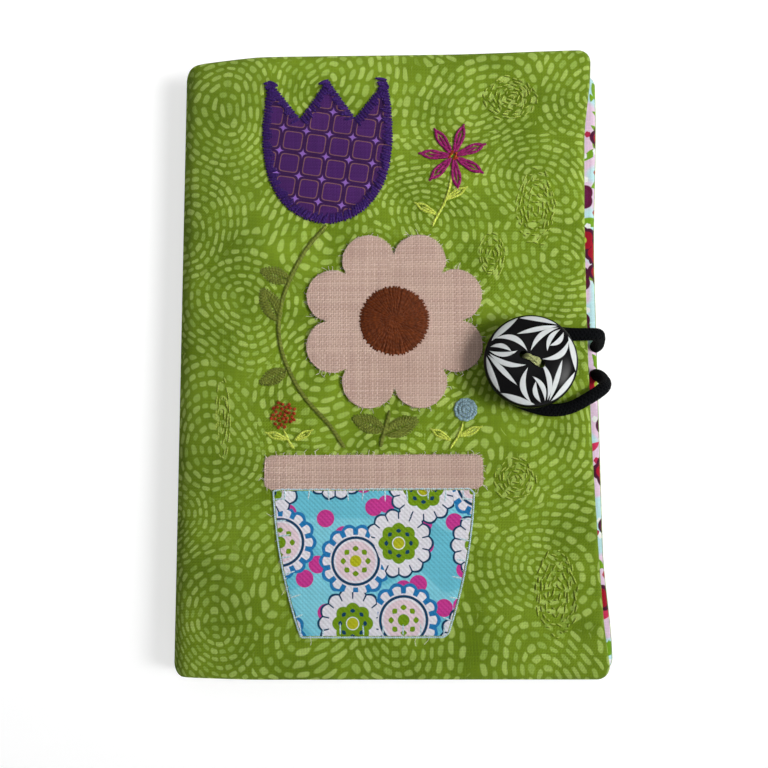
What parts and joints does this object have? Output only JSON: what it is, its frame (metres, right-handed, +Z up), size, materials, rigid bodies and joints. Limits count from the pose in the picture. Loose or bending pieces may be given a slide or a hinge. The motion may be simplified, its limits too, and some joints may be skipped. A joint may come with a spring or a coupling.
{
  "type": "needle book",
  "caption": "Soft cloth needle book with padded cotton covers, pinked felt leaves sewn in the spine, cloth flower patches, a sewn button and an elastic loop.",
  "frame": {"origin": "middle of the back cover's flat underside, on which the closed book lies", "axes": "+X from the spine to the fore-edge, +Y from tail to head, +Z up out of the front cover"},
  "size_m": [0.1046, 0.15, 0.028],
  "materials": {
    "cover_cotton": "woven cotton with a tonal print, matt",
    "batting": "soft unbleached wadding, hidden inside the cover",
    "lining_cotton": "woven cotton with a small flower print, matt",
    "felt": "pressed wool felt, matt",
    "linen": "plain weave linen with frayed cut edges",
    "purple_cotton": "woven cotton with a lattice print",
    "pot_cotton": "woven cotton with a print of rings and dots",
    "stitched_wool": "close embroidery stitches in brown wool",
    "button": "glossy black with pale leaf sprays",
    "sewing_thread": "twisted thread",
    "elastic": "round braided elastic, matt black"
  },
  "bodies": {
    "back_cover": {"back_cloth": "cover_cotton", "back_batting": "batting", "back_lining": "lining_cotton", "back_fold_cloth": "cover_cotton", "back_fold_batting": "batting", "back_fold_lining": "lining_cotton"},
    "spine": {"spine_cloth": "cover_cotton", "spine_batting": "batting", "spine_lining": "lining_cotton", "felt_fold_1": "felt", "felt_fold_2": "felt", "front_fold_cloth": "cover_cotton", "front_fold_batting": "batting", "front_fold_lining": "lining_cotton"},
    "front_slope": {"front_slope_cloth": "cover_cotton", "front_slope_batting": "batting", "front_slope_lining": "lining_cotton"},
    "front_cover": {"front_cloth": "cover_cotton", "front_batting": "batting", "front_lining": "lining_cotton", "pot_patch": "pot_cotton", "pot_band_patch": "linen", "daisy_patch": "linen", "daisy_eye": "stitched_wool", "tulip_patch": "purple_cotton"},
    "leaf_1": {"felt_leaf_1": "felt"},
    "leaf_2": {"felt_leaf_2": "felt"},
    "leaf_3": {"felt_leaf_3": "felt"},
    "leaf_4": {"felt_leaf_4": "felt"},
    "shank": {"button_shank": "sewing_thread"},
    "button": {"button": "button", "button_thread": "sewing_thread"},
    "loop": {"elastic_loop": "elastic"}
  },
  "joints": [
    {"name": "book_open", "type": "hinge", "parent": "back_cover", "child": "spine", "pos_m": [-0.04909, 0, 0.00241], "axis": [0, -1, 0], "range_deg": [0, 85], "deforming": ["back_fold_cloth", "back_fold_batting", "back_fold_lining"]},
    {"name": "front_fold_open", "type": "hinge", "parent": "spine", "child": "front_slope", "pos_m": [-0.04938, 0, 0.01046], "axis": [0, -1, 0], "range_deg": [0, 71.01], "deforming": ["front_fold_cloth", "front_fold_batting", "front_fold_lining"]},
    {"name": "front_crease_open", "type": "hinge", "parent": "front_slope", "child": "front_cover", "pos_m": [-0.03271, 0, 0.0168], "axis": [0, -1, 0], "range_deg": [0, 14.01]},
    {"name": "leaf_1_turn", "type": "hinge", "parent": "spine", "child": "leaf_1", "pos_m": [-0.0465, 0, 0.00515], "axis": [0, -1, 0], "range_deg": [-71.01, 0]},
    {"name": "leaf_2_turn", "type": "hinge", "parent": "spine", "child": "leaf_2", "pos_m": [-0.0454, 0, 0.00625], "axis": [0, -1, 0], "range_deg": [-55.01, 0]},
    {"name": "leaf_3_turn", "type": "hinge", "parent": "spine", "child": "leaf_3", "pos_m": [-0.0454, 0, 0.00735], "axis": [0, -1, 0], "range_deg": [0, 55.01]},
    {"name": "leaf_4_turn", "type": "hinge", "parent": "spine", "child": "leaf_4", "pos_m": [-0.0465, 0, 0.00845], "axis": [0, -1, 0], "range_deg": [0, 71.01]},
    {"name": "loop_swing", "type": "hinge", "parent": "back_cover", "child": "loop", "pos_m": [0.0515, 0, 0.0017], "axis": [0, 1, 0], "range_deg": [0, 70.01], "deforming": ["elastic_loop"]},
    {"name": "button_tilt", "type": "hinge", "parent": "front_cover", "child": "shank", "pos_m": [0.0324, -0.0028, 0.0168], "axis": [0, 1, 0], "range_deg": [-5, 5], "stiffness_Nm_per_rad": 0.002},
    {"name": "button_turn", "type": "hinge", "parent": "shank", "child": "button", "pos_m": [0.0324, -0.0028, 0.0214], "axis": [0, 0, 1], "range_deg": [-40, 40], "stiffness_Nm_per_rad": 0.002}
  ],
  "couplings": [
    {"joint": "front_fold_open", "follows": "book_open", "ratio": 0.83529},
    {"joint": "front_crease_open", "follows": "book_open", "ratio": 0.16471},
    {"joint": "leaf_1_turn", "follows": "book_open", "ratio": -0.83529},
    {"joint": "leaf_2_turn", "follows": "book_open", "ratio": -0.64706},
    {"joint": "leaf_3_turn", "follows": "book_open", "ratio": 0.64706},
    {"joint": "leaf_4_turn", "follows": "book_open", "ratio": 0.83529},
    {"joint": "loop_swing", "follows": "book_open", "ratio": 0.82353}
  ]
}
